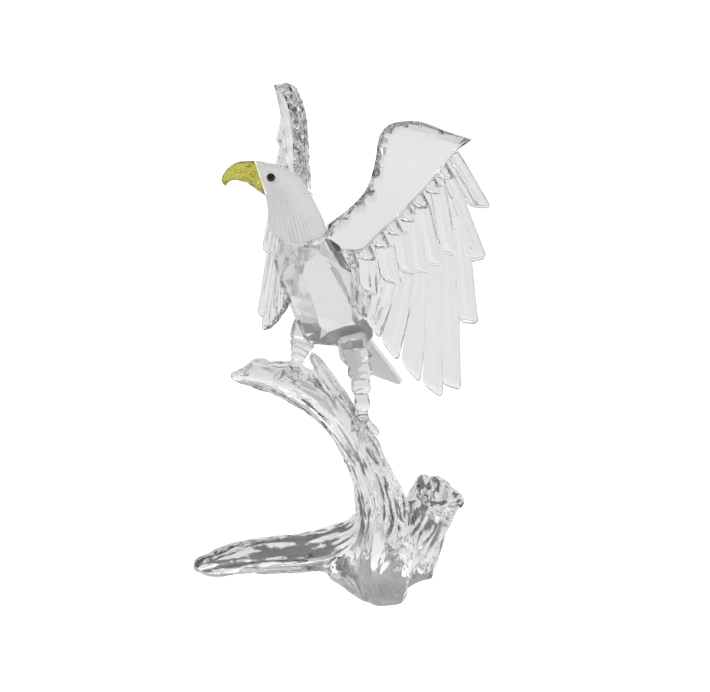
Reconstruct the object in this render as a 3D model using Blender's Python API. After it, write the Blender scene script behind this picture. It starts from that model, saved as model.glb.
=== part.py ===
"""A crystal eagle with raised wings, perched on a driftwood branch of the same crystal.

It is put together as the real one is, from pieces that are cut or moulded singly and glued:
the branch, the body, the frosted head and tail, the yellow beak, two jet eyes, two wings and
two legs. A piece is shaped in millimetres, and finish() turns it into metres.

X runs to the right as the figurine is usually seen, Y away from that view, and Z up. The origin
is under the trunk, on the ground flat that the branch stands on.
"""

import math

import bmesh
import bpy
from mathutils import Matrix, Vector
from mathutils.bvhtree import BVHTree

MM = 0.001

# The glue line that is left open between two pieces.
GLUE_GAP = 0.3

# The side of a block that cuts away all that lies beyond one of its faces.
CUTTER = 240.0

# The branch. A strand is a run of stations, each with its X, Y, Z and radius.
PERCH_STRAND = (
    (-51.2, 12.5, 71.2, 2.4),
    (-48.5, 12.0, 71.4, 3.3),
    (-43.2, 10.5, 72.6, 5.6),
    (-37.0, 8.5, 71.6, 5.6),
    (-30.0, 5.5, 69.6, 6.0),
    (-23.0, 3.0, 65.8, 6.2),
    (-16.4, 1.5, 60.2, 6.2),
    (-10.8, 0.5, 52.6, 6.2),
    (-6.8, 0.5, 44.6, 6.4),
    (-4.0, 1.0, 36.6, 7.0),
    (-2.2, 2.5, 28.0, 8.2),
    (0.0, 6.0, 18.0, 10.0),
    (1.0, 7.6, 9.0, 11.6),
    (1.0, 5.5, 0.0, 11.4),
)
ROOT_STRAND = (
    (-3.0, 5.0, 24.0, 6.5),
    (-8.0, 6.5, 16.0, 7.6),
    (-16.0, 8.5, 11.6, 8.3),
    (-28.0, 9.6, 9.2, 7.6),
    (-40.0, 10.0, 8.0, 6.9),
    (-49.5, 10.0, 6.6, 6.0),
    (-57.5, 9.8, 5.0, 5.2),
    (-62.0, 9.5, 4.0, 4.1),
)
PROP_STRAND = (
    (-24.3, 4.0, 80.4, 2.4),
    (-21.5, 3.0, 76.4, 3.2),
    (-15.8, 0.5, 67.4, 3.8),
    (-10.6, -0.5, 58.0, 4.6),
    (-5.6, -1.0, 48.6, 5.4),
    (-1.6, -1.5, 38.6, 6.4),
    (1.0, -2.0, 28.6, 7.8),
    (1.0, -4.0, 18.0, 9.4),
    (0.2, -7.5, 9.0, 9.6),
    (0.0, -11.5, 2.0, 8.4),
)
STUMP_STRAND = (
    (18.7, 3.0, 32.0, 9.8),
    (16.2, 5.4, 26.8, 9.4),
    (12.5, 7.6, 17.0, 9.6),
    (9.0, 11.0, 8.0, 10.0),
    (7.0, 13.0, 0.0, 9.5),
)
APRON_STRAND = (
    (-18.0, 9.5, 5.6, 5.4),
    (-11.8, 4.0, 4.8, 6.4),
    (-6.4, -3.5, 3.8, 7.4),
    (-1.6, -10.5, 2.4, 8.0),
)
BACK_STRAND = (
    (-2.0, 4.0, 34.0, 4.6),
    (1.0, 10.0, 22.0, 6.5),
    (5.0, 17.0, 10.0, 7.4),
    (8.0, 23.0, 2.0, 5.4),
)
STRANDS = (PERCH_STRAND, ROOT_STRAND, PROP_STRAND, STUMP_STRAND, APRON_STRAND, BACK_STRAND)
STRAND_SIDES = 20
STRAND_STEPS = 4
FLUTES = 5
FLUTE_DEPTH = 0.09  # as a share of the strand's radius
FLUTE_TURN = 0.02  # radians of twist for each millimetre along a strand
STUMP_HOLLOW = 4.0
STUMP_RIM = 1.6
STUMP_WAVE = 1.3  # rise and fall of the ragged rim
GRAIN = 0.9  # size of the grid that melts the strands together
BRANCH_DETAIL = 0.04  # share of that grid's triangles that is kept

# The bird. Its own frame has X forward, Y to its left and Z up, about the body's middle.
BIRD_PLACE = (-19.5, 1.0, 105.0)
BIRD_HEADING = 228.0
BIRD_ROLL = -6.0
BODY_DROP = 3.6  # from the bird's middle down to the middle of the stone
BODY_PITCH = 55.0  # of the stone's long axis above the ground
BODY_HALF_LENGTH = 34.0
BODY_HALF_WIDTH = 12.6
BODY_HALF_DEPTH = 12.2
RUMP_SHARE = 0.56  # of the half length, where the rump is cut off flat
# Each facet is given by its latitude and longitude on the stone and how deep it is cut, where 1
# just touches the egg of those half sizes. The pairs are cut on both sides of the keel.
PAIRED_FACETS = (
    (1, 90, 0.96),
    (0, 135, 1.0),
    (15, 80, 1.0),
    (-13, 78, 1.0),
    (16, 128, 1.0),
    (-13, 130, 1.0),
    (30, 22, 0.97),
    (27, 67, 0.97),
    (27, 112, 0.97),
    (27, 157, 0.97),
    (-30, 30, 0.9),
    (-30, 90, 0.92),
    (-30, 150, 0.92),
)
SINGLE_FACETS = (
    (4, 42, 0.62),
    (2, -44, 0.88),
    (-16, -14, 0.98),
    (0, 180, 0.97),
    (-14, 180, 1.0),
    (14, 180, 1.0),
    (-90, 0, RUMP_SHARE),
    (-52, 0, 0.58),
)

# The head, in a frame of its own: X towards the beak, Z up, from the foot of the neck.
NECK_PLACE = (-28.0, -8.0, 123.4)
NECK_RISE = 3.2  # from there up to the middle of the joint
NECK_TILT = 18.0  # of the joint, which is lower on the near side
HEAD_HEADING = 186.0
# Each section has its throat end and its nape end in X and Z, and its half width.
HEAD_SECTIONS = (
    (9.6, 0.0, -9.4, 0.0, 9.2),
    (10.2, 3.0, -8.6, 4.0, 9.0),
    (10.5, 6.6, -7.0, 8.4, 8.4),
    (10.6, 10.4, -4.4, 13.4, 7.6),
    (10.9, 13.0, -2.2, 17.6, 6.9),
    (11.1, 13.8, 0.2, 20.9, 6.5),
    (11.0, 14.2, 4.2, 23.4, 6.2),
    (10.8, 14.4, 9.2, 25.2, 5.8),
    (10.7, 14.5, 14.2, 26.3, 5.2),
)
BEAK_SECTIONS = (
    (10.9, 14.3, 14.5, 26.3, 5.0),
    (13.8, 16.3, 17.0, 26.4, 4.4),
    (17.0, 18.6, 19.6, 26.1, 3.7),
    (20.0, 19.8, 22.2, 24.9, 3.0),
    (21.8, 20.0, 24.2, 23.0, 2.3),
    (22.7, 19.6, 25.3, 20.9, 1.7),
    (23.4, 19.0, 25.3, 19.4, 1.0),
    (23.8, 18.2, 24.3, 18.2, 0.3),
)
HEAD_SIDES = 16
BEAK_SIDES = 12
EYE_RADIUS = 1.5
EYE_RISE = 0.7
EYE_SIDES = 16
EYE_PLACE = (9.7, 21.6)  # X and Z in the head's frame
SOCKET_DEPTH = 0.8

# A wing, seen flat: U runs out and back from the shoulder, V up.
SHOULDER = (4.75, 5.9, 23.6)  # of the left wing, in the bird's frame
WING_SWEEP = 31.5  # degrees that U turns back from straight out
WING_BOW = -1.0  # how far the wing's outer edge leans forward at mid height
WING_TWIST = 2.0  # how much more of that there is 50 mm below
WING_CURL = 3.0  # how far the wing's top leans forward
WING_CURL_SPAN = (12.0, 34.0)  # V where that begins, and V at the top
ARM_THICKNESS = 5.6
ARM_BEVEL = 2.7
ARM_REAR_BEVEL = 0.8
ARM_EDGE = 1.2  # thickness that is left at the foot of the bevels
LEADING_EDGE = (
    (-9.0, -7.0),
    (-3.3, -0.9),
    (5.0, 7.3),
    (9.7, 14.6),
    (11.7, 24.0),
    (12.4, 31.5),
    (15.2, 36.4),
    (21.5, 38.7),
    (27.0, 38.5),
    (33.0, 36.6),
    (42.0, 34.3),
)
TRAILING_EDGE = (
    (42.0, 34.3),
    (36.6, 28.9),
    (30.7, 19.2),
    (22.5, 7.8),
    (15.3, -0.6),
    (9.4, -7.6),
    (2.0, -8.6),
    (-9.0, -12.0),
)
# A feather's outer edge runs from its root to its tip, each given in U and V. Width and slant follow.
FLIGHT_FEATHERS = (
    ((38.2, 29.9), (50.0, 12.3), 6.2, 0.6),
    ((37.5, 21.5), (50.3, -4.2), 6.2, 0.1),
    ((42.6, 9.0), (49.9, -26.4), 6.2, 0.15),
    ((40.2, 4.0), (46.4, -49.5), 6.6, 0.28),
    ((37.0, 0.0), (40.6, -53.2), 6.8, 0.6),
    ((34.2, -3.0), (32.7, -49.4), 7.2, 0.85),
    ((30.2, -4.0), (24.8, -43.0), 7.2, 0.75),
    ((24.4, -10.0), (18.2, -36.3), 6.8, 0.7),
    ((18.5, -8.0), (16.0, -32.5), 8.0, 0.6),
    ((10.5, -10.0), (14.6, -27.0), 8.0, 0.4),
)
FLIGHT_THICKNESS = 2.4
COVERTS = (
    ((35.0, 18.0), (41.1, -4.8), 5.6, 0.3),
    ((30.6, 10.5), (36.7, -8.8), 5.6, 0.3),
    ((28.0, 8.0), (31.9, -12.4), 5.4, 0.3),
    ((24.6, 1.0), (28.1, -12.9), 5.6, 0.4),
    ((20.4, -4.0), (23.9, -17.0), 7.0, 0.5),
    ((14.6, -9.0), (16.4, -21.6), 6.4, 0.5),
)
COVERT_THICKNESS = 3.4
# The web that the feathers are carved on.
WEB = (
    (37.5, 28.0),
    (40.5, 21.0),
    (42.5, 10.0),
    (41.5, -2.0),
    (36.0, -14.0),
    (28.0, -18.0),
    (19.0, -26.0),
    (14.5, -29.0),
    (6.0, -22.0),
    (0.0, -9.0),
    (11.0, -2.5),
    (18.0, 5.5),
    (26.0, 17.5),
    (32.5, 28.5),
)
WEB_THICKNESS = 1.8
SCALES = 9
SCALE_SHARES = (0.16, 0.86)  # first and last, along the trailing edge
SCALE_LEAN = (0.5, -0.866)
SCALE_REACH = 5.6
SCALE_ROOT = 3.0
SCALE_WIDTH = 5.0
SCALE_SLANT = 0.55
SCALE_THICKNESS = 4.4
FEATHER_TILT = 0.07  # rise of a feather's outer edge for each unit of its width, as shingles lie
FEATHER_FLAT = 0.72  # share of a feather's width that is flat, the rest being bevelled
FEATHER_RIM = 0.42  # share of its thickness that is left at its edge

# The tail is a fan of two broad facets that meet along a ridge.
TAIL_SINK = 0.8  # how far its root lies inside the rump
TAIL_SETBACK = 3.8  # of its root behind the middle of the rump
TAIL_PITCH = 55.0
TAIL_LENGTH = 24.5
TAIL_HALF_WIDTHS = (6.4, 9.6, 14.0)  # at the root, halfway and at the tip
TAIL_THICKNESS = 3.0
TAIL_EDGE = 1.3
TAIL_CORNER = 2.6

# The legs, in the part's frame: the middle of the hip, the knee and the ankle.
LEGS = {
    "left": ((-11.4, -3.2, 89.4), (-8.6, -3.0, 80.0), (-7.4, -1.8, 63.6)),
    "right": ((-25.6, 6.0, 92.0), (-27.4, 6.0, 85.0), (-29.4, 6.0, 78.8)),
}
THIGH_RADIUS = 5.0
THIGH_BEVEL = 0.9
SHANK_RADII = (4.8, 2.7)  # under the thigh and above the ankle
TUFTS = 3
TUFT_STEP = 0.55
TUFT_DROP = 0.6  # of every other point of a tuft's hem
LEG_SIDES = 8
TOE_RADIUS = 1.45
TOE_STEPS = 5
TOE_SIDES = 6
# Which way each toe leaves the ankle, in degrees from +X seen from above, and its length.
TOES = {
    "left": ((278.0, 9.0), (312.0, 13.0), (0.0, 10.0), (110.0, 7.0)),
    "right": ((182.0, 11.0), (222.0, 11.5), (268.0, 9.5), (20.0, 7.5)),
}


def smooth_rows(rows, steps):
    """Rows on a smooth curve that passes through the given ones, so many steps to a span."""
    padded = [rows[0], *rows, rows[-1]]
    smooth = []
    for a, b, c, d in zip(padded, padded[1:], padded[2:], padded[3:]):
        for step in range(steps):
            t = step / steps
            smooth.append(
                [
                    0.5 * (2 * q + (r - p) * t + (2 * p - 5 * q + 4 * r - s) * t**2 + (3 * q - p - 3 * r + s) * t**3)
                    for p, q, r, s in zip(a, b, c, d)
                ]
            )
    smooth.append(list(rows[-1]))
    return smooth


def mix(a, b, share):
    return a + (b - a) * share


def object_from(bm, name="shape"):
    """A new object with the bmesh as its mesh, faces pointing out."""
    bmesh.ops.recalc_face_normals(bm, faces=bm.faces)
    mesh = bpy.data.meshes.new(name)
    bm.to_mesh(mesh)
    bm.free()
    shape = bpy.data.objects.new(name, mesh)
    bpy.context.scene.collection.objects.link(shape)
    return shape


def loft(rings):
    """A closed shape whose skin runs through rings of equally many points, with flat ends."""
    bm = bmesh.new()
    rows = [[bm.verts.new(point) for point in ring] for ring in rings]
    for low, high in zip(rows, rows[1:]):
        for i in range(len(low)):
            j = (i + 1) % len(low)
            bm.faces.new((low[i], low[j], high[j], high[i]))
    bm.faces.new(rows[0])
    bm.faces.new(rows[-1])
    return object_from(bm)


def hull(points):
    """The convex shape around the points."""
    bm = bmesh.new()
    verts = [bm.verts.new(point) for point in points]
    made = bmesh.ops.convex_hull(bm, input=verts)
    spare = {v for v in made["geom_interior"] + made["geom_unused"] if isinstance(v, bmesh.types.BMVert)}
    bmesh.ops.delete(bm, geom=list(spare), context="VERTS")
    return object_from(bm)


def evaluated(shape):
    """Bakes the shape's modifiers into its mesh."""
    graph = bpy.context.evaluated_depsgraph_get()
    graph.update()
    mesh = bpy.data.meshes.new_from_object(shape.evaluated_get(graph))
    shape.modifiers.clear()
    shape.data = mesh
    return shape


def boolean(shape, others, operation):
    """The shape joined with, or cut by, all of the others, which are used up."""
    operands = bpy.data.collections.new("operands")
    for other in others:
        operands.objects.link(other)
    modifier = shape.modifiers.new("boolean", "BOOLEAN")
    modifier.operation = operation
    modifier.operand_type = "COLLECTION"
    modifier.collection = operands
    evaluated(shape)
    for other in others:
        bpy.data.objects.remove(other)
    bpy.data.collections.remove(operands)
    return shape


def finish(shape, name, material, smooth_angle=None):
    """Names a piece, gives it its material and turns its millimetres into metres."""
    shape.data.transform(shape.matrix_world)
    shape.matrix_world = Matrix.Identity(4)
    shape.data.transform(Matrix.Scale(MM, 4))
    shape.name = name
    shape.data.name = name
    shape.data.materials.clear()
    shape.data.materials.append(material)
    if smooth_angle is not None:
        shape.data.shade_smooth()
        shape.data.set_sharp_from_angle(angle=math.radians(smooth_angle))
    return shape


def crystal(name, colour, roughness, transmission=1.0):
    material = bpy.data.materials.new(name)
    material.use_nodes = True
    shader = material.node_tree.nodes["Principled BSDF"]
    shader.inputs["Base Color"].default_value = (*colour, 1.0)
    shader.inputs["Roughness"].default_value = roughness
    shader.inputs["Metallic"].default_value = 0.0
    shader.inputs["Transmission Weight"].default_value = transmission
    shader.inputs["IOR"].default_value = 1.55
    material.diffuse_color = (*colour, 1.0)
    return material


def block(middle):
    bm = bmesh.new()
    bmesh.ops.create_cube(bm, size=CUTTER)
    bmesh.ops.translate(bm, verts=bm.verts, vec=middle)
    return object_from(bm)


def strand(stations, sides, steps, flute_depth=0.0, grow=0.0, hollow_start=False):
    """A round limb along its stations, with long flutes and rounded ends."""
    rows = smooth_rows(stations, steps)
    centres = [Vector(row[:3]) for row in rows]
    radii = [row[3] + grow for row in rows]
    ahead = [(b - a).normalized() for a, b in zip(centres, centres[1:])]
    directions = [ahead[0]]
    directions += [(a + b).normalized() for a, b in zip(ahead, ahead[1:])]
    directions.append(ahead[-1])
    side = directions[0].orthogonal().normalized()
    rings = []
    travelled = 0.0

    def ring(centre, direction, radius, side, turn):
        other = direction.cross(side)
        points = []
        for i in range(sides):
            angle = 2 * math.pi * i / sides
            reach = radius * (1 + flute_depth * math.cos(FLUTES * (angle + turn)))
            points.append(centre + reach * (math.cos(angle) * side + math.sin(angle) * other))
        return points

    for k, (centre, direction, radius) in enumerate(zip(centres, directions, radii)):
        side = (side - side.dot(direction) * direction).normalized()
        if k:
            travelled += (centre - centres[k - 1]).length
        turn = FLUTE_TURN * travelled
        if k == 0 and hollow_start:
            rings.append(ring(centre + STUMP_HOLLOW * direction, direction, radius * 0.3, side, turn))
            rings.append(ring(centre + 0.6 * STUMP_HOLLOW * direction, direction, radius * 0.55, side, turn))
            for share, lift in ((1 - 1.4 * STUMP_RIM / radius, 0.2), (1 - 0.5 * STUMP_RIM / radius, 1.0)):
                rim = ring(centre, direction, radius * share, side, turn)
                for i, point in enumerate(rim):
                    angle = 2 * math.pi * i / sides
                    wave = math.sin(2 * angle + 2.4) + 0.6 * math.sin(5 * angle)
                    rim[i] = point - lift * STUMP_WAVE * (1 - wave) * direction
                rings.append(rim)
        elif k == 0:
            for share in (0.94, 0.7):
                back = centre - share * radius * direction
                rings.append(ring(back, direction, radius * math.sqrt(1 - share**2), side, turn))
        rings.append(ring(centre, direction, radius, side, turn))
        if k == len(centres) - 1:
            for share in (0.7, 0.94):
                beyond = centre + share * radius * direction
                rings.append(ring(beyond, direction, radius * math.sqrt(1 - share**2), side, turn))
    return loft(rings)


def make_branch():
    """The fluted strands melted into one, and ground flat where it stands."""
    strands = [
        strand(stations, STRAND_SIDES, STRAND_STEPS, FLUTE_DEPTH, hollow_start=stations is STUMP_STRAND)
        for stations in STRANDS
    ]
    bm = bmesh.new()
    for each in strands:
        bm.from_mesh(each.data)
        bpy.data.objects.remove(each)
    branch = object_from(bm)
    melt = branch.modifiers.new("melt", "REMESH")
    melt.mode = "VOXEL"
    melt.voxel_size = GRAIN
    ease = branch.modifiers.new("ease", "SMOOTH")
    ease.factor = 0.5
    ease.iterations = 3
    thin = branch.modifiers.new("thin", "DECIMATE")
    thin.ratio = BRANCH_DETAIL
    evaluated(branch)
    return boolean(branch, [block(Vector((0, 0, -CUTTER / 2)))], "DIFFERENCE")


def bird_frame():
    """From the bird's frame to the part's, both in millimetres."""
    return (
        Matrix.Translation(BIRD_PLACE)
        @ Matrix.Rotation(math.radians(BIRD_HEADING), 4, "Z")
        @ Matrix.Rotation(math.radians(BIRD_ROLL), 4, "X")
    )


def stone_frame():
    """From the body stone's own frame, with Z along its length, to the bird's."""
    return Matrix.Translation((0, 0, -BODY_DROP)) @ Matrix.Rotation(math.radians(90 - BODY_PITCH), 4, "Y")


def cut_stone(half_sizes, facets, grow=0.0):
    """A stone cut from a block. A facet touches the egg of those half sizes, and grow moves it out."""
    bm = bmesh.new()
    bmesh.ops.create_cube(bm, size=4 * max(half_sizes))
    for latitude, longitude, depth in facets:
        lat, lon = math.radians(latitude), math.radians(longitude)
        normal = Vector((math.cos(lat) * math.cos(lon), math.cos(lat) * math.sin(lon), math.sin(lat)))
        reach = Vector(n * half for n, half in zip(normal, half_sizes)).length * depth + grow
        everything = [*bm.verts, *bm.edges, *bm.faces]
        cut = bmesh.ops.bisect_plane(bm, geom=everything, plane_co=normal * reach, plane_no=normal, clear_outer=True)
        rim = [e for e in cut["geom_cut"] if isinstance(e, bmesh.types.BMEdge)]
        if rim:
            bmesh.ops.contextual_create(bm, geom=rim)
    return object_from(bm)


def body_form(grow=0.0):
    """The egg-shaped body: a broad facet on the breast, and rings of smaller ones about it."""
    facets = [(lat, side * lon, depth) for lat, lon, depth in PAIRED_FACETS for side in (1, -1)]
    half_sizes = (BODY_HALF_DEPTH, BODY_HALF_WIDTH, BODY_HALF_LENGTH)
    stone = cut_stone(half_sizes, [*facets, *SINGLE_FACETS], grow)
    stone.data.transform(bird_frame() @ stone_frame())
    return stone


def beyond_neck(way, grow=0.0):
    """Everything above the joint that the head stands on, or with way -1 everything below it."""
    cutter = block(Vector((0, 0, way * CUTTER / 2 - grow)))
    tilt = Matrix.Rotation(math.radians(NECK_TILT), 4, "X")
    cutter.data.transform(Matrix.Translation(Vector(NECK_PLACE) + Vector((0, 0, NECK_RISE))) @ tilt)
    return cutter


def head_frame():
    return Matrix.Translation(NECK_PLACE) @ Matrix.Rotation(math.radians(HEAD_HEADING), 4, "Z")


def sectioned(sections, sides, steps, grow=0.0):
    """A form in the head's frame, through ellipses that stand on the lines of its sections."""
    rings = []
    for x_low, z_low, x_high, z_high, half_width in smooth_rows(sections, steps):
        low, high = Vector((x_low, 0, z_low)), Vector((x_high, 0, z_high))
        middle, half = (low + high) / 2, (high - low) / 2
        half = half.normalized() * (half.length + grow)
        wide = Vector((0, half_width + grow, 0))
        angles = [2 * math.pi * i / sides for i in range(sides)]
        rings.append([middle + math.cos(a) * half + math.sin(a) * wide for a in angles])
    return loft(rings)


def head_form(grow=0.0):
    form = sectioned(HEAD_SECTIONS, HEAD_SIDES, 2, grow)
    form.data.transform(head_frame())
    return boolean(form, [beyond_neck(-1, grow)], "DIFFERENCE")


def beak_form():
    form = sectioned(BEAK_SECTIONS, BEAK_SIDES, 2)
    form.data.transform(head_frame())
    return form


def eye_disc(side, radius, low, high):
    """A short round plug across the head's side at the eye, between two distances from the middle."""
    bm = bmesh.new()
    bmesh.ops.create_cone(bm, cap_ends=True, segments=EYE_SIDES, radius1=radius, radius2=radius, depth=high - low)
    place = Matrix.Translation((EYE_PLACE[0], side * (low + high) / 2, EYE_PLACE[1]))
    bmesh.ops.transform(bm, matrix=head_frame() @ place @ Matrix.Rotation(math.pi / 2, 4, "X"), verts=bm.verts)
    return object_from(bm)


def cheek_distance(head):
    """How far the head's side stands out at the eye."""
    tree = BVHTree.FromObject(head, bpy.context.evaluated_depsgraph_get())
    frame = head_frame()
    well_outside = 3 * HEAD_SECTIONS[0][-1]
    outside = frame @ Vector((EYE_PLACE[0], well_outside, EYE_PLACE[1]))
    inward = frame.to_3x3() @ Vector((0, -1, 0))
    return well_outside - tree.ray_cast(outside, inward)[3]


def make_eye(side, cheek):
    """A round cabochon with its flat back in the socket."""
    back = cheek - SOCKET_DEPTH + GLUE_GAP
    dome = SOCKET_DEPTH - GLUE_GAP + EYE_RISE
    rings = []
    for share in (0.0, 0.45, 0.8, 0.96):
        reach = EYE_RADIUS * math.sqrt(1 - share**2)
        ring = []
        for i in range(EYE_SIDES):
            angle = 2 * math.pi * i / EYE_SIDES
            x = EYE_PLACE[0] + reach * math.cos(angle)
            z = EYE_PLACE[1] + reach * math.sin(angle)
            ring.append(head_frame() @ Vector((x, side * (back + share * dome), z)))
        rings.append(ring)
    return loft(rings)


def curve_point(points, share):
    """The point at that share of the way along a smooth line through flat points."""
    smooth = [Vector(point) for point in smooth_rows(points, 6)]
    spans = [(b - a).length for a, b in zip(smooth, smooth[1:])]
    wanted = share * sum(spans)
    for start, end, span in zip(smooth, smooth[1:], spans):
        if wanted <= span:
            return start.lerp(end, wanted / span)
        wanted -= span
    return smooth[-1]


def feather(root, tip, width, slant, thickness):
    """A flat bevelled feather. Its outer edge runs from root to tip, and its tip slants up to the inner side."""
    root, tip = Vector((*root, 0)), Vector((*tip, 0))
    along = (tip - root).normalized()
    across = Vector((-along.y, along.x, 0))
    length = (tip - root).length
    root = root - across * width / 2
    # Each point has its distance from the root and its place across the width, from -1 to 1.
    outline = (
        (0.0, -0.85),
        (0.0, 0.85),
        (length - 0.1 * width, 1.0),
        (length, 0.84),
        (length - 0.6 * slant * width, -0.4),
        (length - (0.12 + 1.45 * slant) * width, -1.0),
    )
    bevel = (1 - FEATHER_FLAT) * width / 2
    points = []
    for distance, place in outline:
        lift = FEATHER_TILT * place * width / 2
        flat_distance = min(max(distance, bevel), length - (slant + 0.1) * width * (1 - place) / 2 - bevel)
        for face in (-1, 1):
            edge = Vector((0, 0, lift + face * FEATHER_RIM * thickness / 2))
            flat = Vector((0, 0, lift * FEATHER_FLAT + face * thickness / 2))
            points.append(root + along * distance + across * place * width / 2 + edge)
            points.append(root + along * flat_distance + across * place * FEATHER_FLAT * width / 2 + flat)
    return hull(points)


def web_slab():
    half = WEB_THICKNESS / 2
    return loft([[(*point, face * half) for point in WEB] for face in (-1, 1)])


def arm_slab():
    """The thick front of the wing: one flat panel on each face, with a broad bevel along its leading edge."""
    leading = [Vector(p) for p in smooth_rows(LEADING_EDGE, 2)]
    trailing = [Vector(p) for p in TRAILING_EDGE]
    outline = leading + trailing[1:]
    bevels = [ARM_BEVEL] * len(leading) + [ARM_REAR_BEVEL] * (len(trailing) - 1)
    bevels[len(leading) - 1] = ARM_REAR_BEVEL
    count = len(outline)
    # The outline runs round with its inside on the right.
    panel = []
    for i, point in enumerate(outline):
        along = (outline[(i + 1) % count] - outline[i - 1]).normalized()
        inward = Vector((along.y, -along.x))
        panel.append(point + inward * bevels[i])
    half, edge = ARM_THICKNESS / 2, ARM_EDGE / 2
    rings = [[(*p, z) for p in flat] for flat, z in ((panel, -half), (outline, -edge), (outline, edge), (panel, half))]
    return loft(rings)


def wing_flat():
    """The left wing lying in its own plane, with U, V and the thickness as X, Y and Z."""
    layers = [feather(*row, FLIGHT_THICKNESS) for row in FLIGHT_FEATHERS]
    layers += [feather(*row, COVERT_THICKNESS) for row in COVERTS]
    lean = Vector(SCALE_LEAN)
    for k in range(SCALES):
        at = curve_point(TRAILING_EDGE, mix(*SCALE_SHARES, k / (SCALES - 1)))
        root, tip = at - lean * SCALE_ROOT, at + lean * SCALE_REACH
        layers.append(feather(root, tip, SCALE_WIDTH, SCALE_SLANT, SCALE_THICKNESS))
    wing = boolean(arm_slab(), [web_slab(), *layers], "UNION")
    merge = wing.modifiers.new("merge", "DECIMATE")
    merge.decimate_type = "DISSOLVE"
    merge.angle_limit = math.radians(2)
    evaluated(wing)
    bm = bmesh.new()
    bm.from_mesh(wing.data)
    bmesh.ops.triangulate(bm, faces=bm.faces)
    span = LEADING_EDGE[-1][0]
    curl_start, curl_end = WING_CURL_SPAN
    for vert in bm.verts:
        u, v, _ = vert.co
        vert.co.z += (WING_BOW - WING_TWIST * v / 50) * (max(u, 0) / span) ** 2
        vert.co.z += WING_CURL * (max(v - curl_start, 0) / (curl_end - curl_start)) ** 2
    bm.to_mesh(wing.data)
    bm.free()
    return wing


def make_wing(side):
    """A wing set on its shoulder, and cut to the body and the head beside it."""
    wing = wing_flat()
    sweep = math.radians(WING_SWEEP)
    across = Vector((-math.sin(sweep), math.cos(sweep), 0))
    up = Vector((0, 0, 1))
    back = across.cross(up)
    flat_to_bird = Matrix((across, up, back)).transposed().to_4x4()
    flat_to_bird.translation = Vector(SHOULDER)
    mirror = Matrix.Scale(side, 4, (0, 1, 0))
    wing.data.transform(bird_frame() @ mirror @ flat_to_bird)
    if side < 0:
        wing.data.flip_normals()
    return boolean(wing, [body_form(GLUE_GAP), head_form(GLUE_GAP)], "DIFFERENCE")


def make_tail():
    """A frosted fan that leaves the rump, with rounded outer corners."""
    length, corner = TAIL_LENGTH, TAIL_CORNER
    root, middle, tip = TAIL_HALF_WIDTHS
    half = TAIL_THICKNESS / 2
    points = []
    for face in (-1, 1):
        points += [(0, 0, face * half), (0, -length + TAIL_EDGE, face * half)]
        for side in (-1, 1):
            edge = face * TAIL_EDGE / 2
            for x, y in (
                (root, 0),
                (middle, -length / 2),
                (tip, -length + corner),
                (tip - 0.3 * corner, -length + 0.3 * corner),
                (tip - corner, -length),
                (0, -length),
            ):
                points.append((side * x, y, edge))
    tail = hull(points)
    across = Vector((0, 1, 0))
    pitch = math.radians(TAIL_PITCH)
    up = Vector((math.cos(pitch), 0, math.sin(pitch)))
    fan = Matrix((across, up, across.cross(up))).transposed().to_4x4()
    fan.translation = stone_frame() @ Vector((-TAIL_SETBACK, 0, TAIL_SINK - RUMP_SHARE * BODY_HALF_LENGTH))
    tail.data.transform(bird_frame() @ fan)
    return boolean(tail, [body_form(GLUE_GAP)], "DIFFERENCE")


def branch_tree(branch):
    return BVHTree.FromObject(branch, bpy.context.evaluated_depsgraph_get())


def toe_stations(tree, start, heading, length):
    """A toe's path over the branch: knuckles, then a claw whose point dips into the wood."""
    direction = Vector((math.cos(math.radians(heading)), math.sin(math.radians(heading)), 0))
    place, normal = tree.find_nearest(start)[:2]
    stations = []
    for k in range(TOE_STEPS + 1):
        share = k / TOE_STEPS
        knuckle = 1 + 0.14 * math.cos(3 * math.pi * share)
        claw = max(0.0, share - 0.66) / 0.34
        radius = TOE_RADIUS * knuckle * (1 - 0.8 * claw)
        lift = TOE_RADIUS * (0.4 + 0.45 * math.sin(math.pi * claw) - 0.5 * claw)
        centre = place + normal * lift
        stations.append((*centre, radius))
        direction = (direction - direction.dot(normal) * normal).normalized()
        place, normal = tree.find_nearest(place + direction * length / TOE_STEPS)[:2]
    return stations


def drum_rings(centre, direction, radii, drops, grow, zigzag=0.0):
    """Rings of a faceted limb about the direction, each with its radius and how far down it lies."""
    side = direction.orthogonal().normalized()
    other = direction.cross(side)
    rings = []
    for radius, drop in zip(radii, drops):
        ring = []
        for i in range(LEG_SIDES):
            angle = 2 * math.pi * i / LEG_SIDES
            fall = drop + zigzag * (-1) ** i
            outward = math.cos(angle) * side + math.sin(angle) * other
            ring.append(centre + outward * (radius + grow) + direction * fall)
        rings.append(ring)
    return rings


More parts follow.
